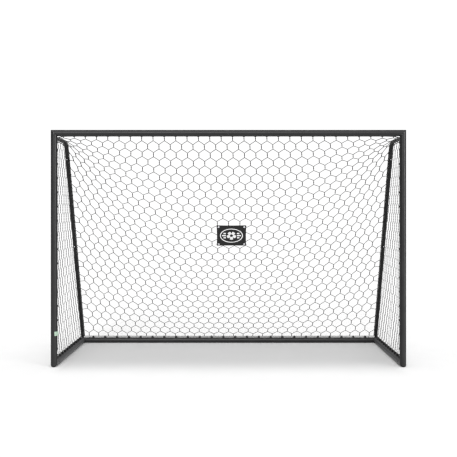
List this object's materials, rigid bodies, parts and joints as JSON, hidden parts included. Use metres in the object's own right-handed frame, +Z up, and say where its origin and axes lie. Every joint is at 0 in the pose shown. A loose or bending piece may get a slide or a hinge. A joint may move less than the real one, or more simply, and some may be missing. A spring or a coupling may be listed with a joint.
{
  "type": "soccer goal",
  "caption": "Free-standing garden soccer goal: black round-tube frame, hexagonal net on bent rear stays, a rear ground bar and a small banner tied to the net.",
  "frame": {"origin": "on the ground in the middle of the goal's footprint", "axes": "+X to the right for someone looking into the goal mouth, +Y from the goal mouth to the rear bar, +Z up"},
  "size_m": [3, 1.2, 2],
  "materials": {
    "frame_tube": "fine-textured satin black powder coat on round steel tube",
    "stay_tube": "satin black powder coat on thin round steel tube",
    "connector": "zinc-plated steel insert, hidden in the tubes",
    "screw": "black-oxide button-head screw",
    "button": "bright stainless snap button",
    "spring": "bright spring steel",
    "net": "braided black polyester cord in hexagonal mesh",
    "banner": "woven coated polyester with a hemmed edge",
    "eyelet": "bright pressed eyelet"
  },
  "bodies": {
    "root": {"left_post": "frame_tube", "crossbar_left": "frame_tube", "left_ground_bar": "frame_tube", "rear_bar_left": "frame_tube", "right_post": "frame_tube", "crossbar_right": "frame_tube", "right_ground_bar": "frame_tube", "rear_bar_right": "frame_tube", "crossbar_splice": "connector", "crossbar_splice_screw_left": "screw", "crossbar_splice_screw_right": "screw", "rear_bar_splice": "connector", "rear_bar_splice_screw_left": "screw", "rear_bar_splice_screw_right": "screw", "left_top_connector": "connector", "left_top_screw_1": "screw", "left_top_screw_2": "screw", "left_front_connector": "connector", "left_front_screw_1": "screw", "left_front_screw_2": "screw", "left_rear_connector": "connector", "left_rear_screw_1": "screw", "left_rear_screw_2": "screw", "left_stay_bracket": "frame_tube", "left_stay_bracket_screw": "screw", "left_stay_elbow": "stay_tube", "left_stay_middle": "stay_tube", "left_stay_lower": "stay_tube", "left_stay_foot": "frame_tube", "left_upper_snap_spring": "spring", "left_lower_snap_spring": "spring", "right_top_connector": "connector", "right_top_screw_1": "screw", "right_top_screw_2": "screw", "right_front_connector": "connector", "right_front_screw_1": "screw", "right_front_screw_2": "screw", "right_rear_connector": "connector", "right_rear_screw_1": "screw", "right_rear_screw_2": "screw", "right_stay_bracket": "frame_tube", "right_stay_bracket_screw": "screw", "right_stay_elbow": "stay_tube", "right_stay_middle": "stay_tube", "right_stay_lower": "stay_tube", "right_stay_foot": "frame_tube", "right_upper_snap_spring": "spring", "right_lower_snap_spring": "spring", "back_net": "net", "left_side_net": "net", "right_side_net": "net", "banner": "banner", "banner_eyelet_1": "eyelet", "banner_eyelet_2": "eyelet", "banner_eyelet_3": "eyelet", "banner_eyelet_4": "eyelet"},
    "left_upper_snap_button": {"left_upper_snap_button": "button"},
    "left_lower_snap_button": {"left_lower_snap_button": "button"},
    "right_upper_snap_button": {"right_upper_snap_button": "button"},
    "right_lower_snap_button": {"right_lower_snap_button": "button"}
  },
  "joints": [
    {"name": "left_upper_snap_button_press", "type": "slide", "parent": "root", "child": "left_upper_snap_button", "axis": [0, 0.932, 0.3626], "range_m": [0, 0.005], "stiffness_N_per_m": 1200, "springref_m": -0.002, "deforming": ["left_upper_snap_spring"]},
    {"name": "left_lower_snap_button_press", "type": "slide", "parent": "root", "child": "left_lower_snap_button", "axis": [0, 0.932, 0.3626], "range_m": [0, 0.005], "stiffness_N_per_m": 1200, "springref_m": -0.002, "deforming": ["left_lower_snap_spring"]},
    {"name": "right_upper_snap_button_press", "type": "slide", "parent": "root", "child": "right_upper_snap_button", "axis": [0, 0.932, 0.3626], "range_m": [0, 0.005], "stiffness_N_per_m": 1200, "springref_m": -0.002, "deforming": ["right_upper_snap_spring"]},
    {"name": "right_lower_snap_button_press", "type": "slide", "parent": "root", "child": "right_lower_snap_button", "axis": [0, 0.932, 0.3626], "range_m": [0, 0.005], "stiffness_N_per_m": 1200, "springref_m": -0.002, "deforming": ["right_lower_snap_spring"]}
  ]
}
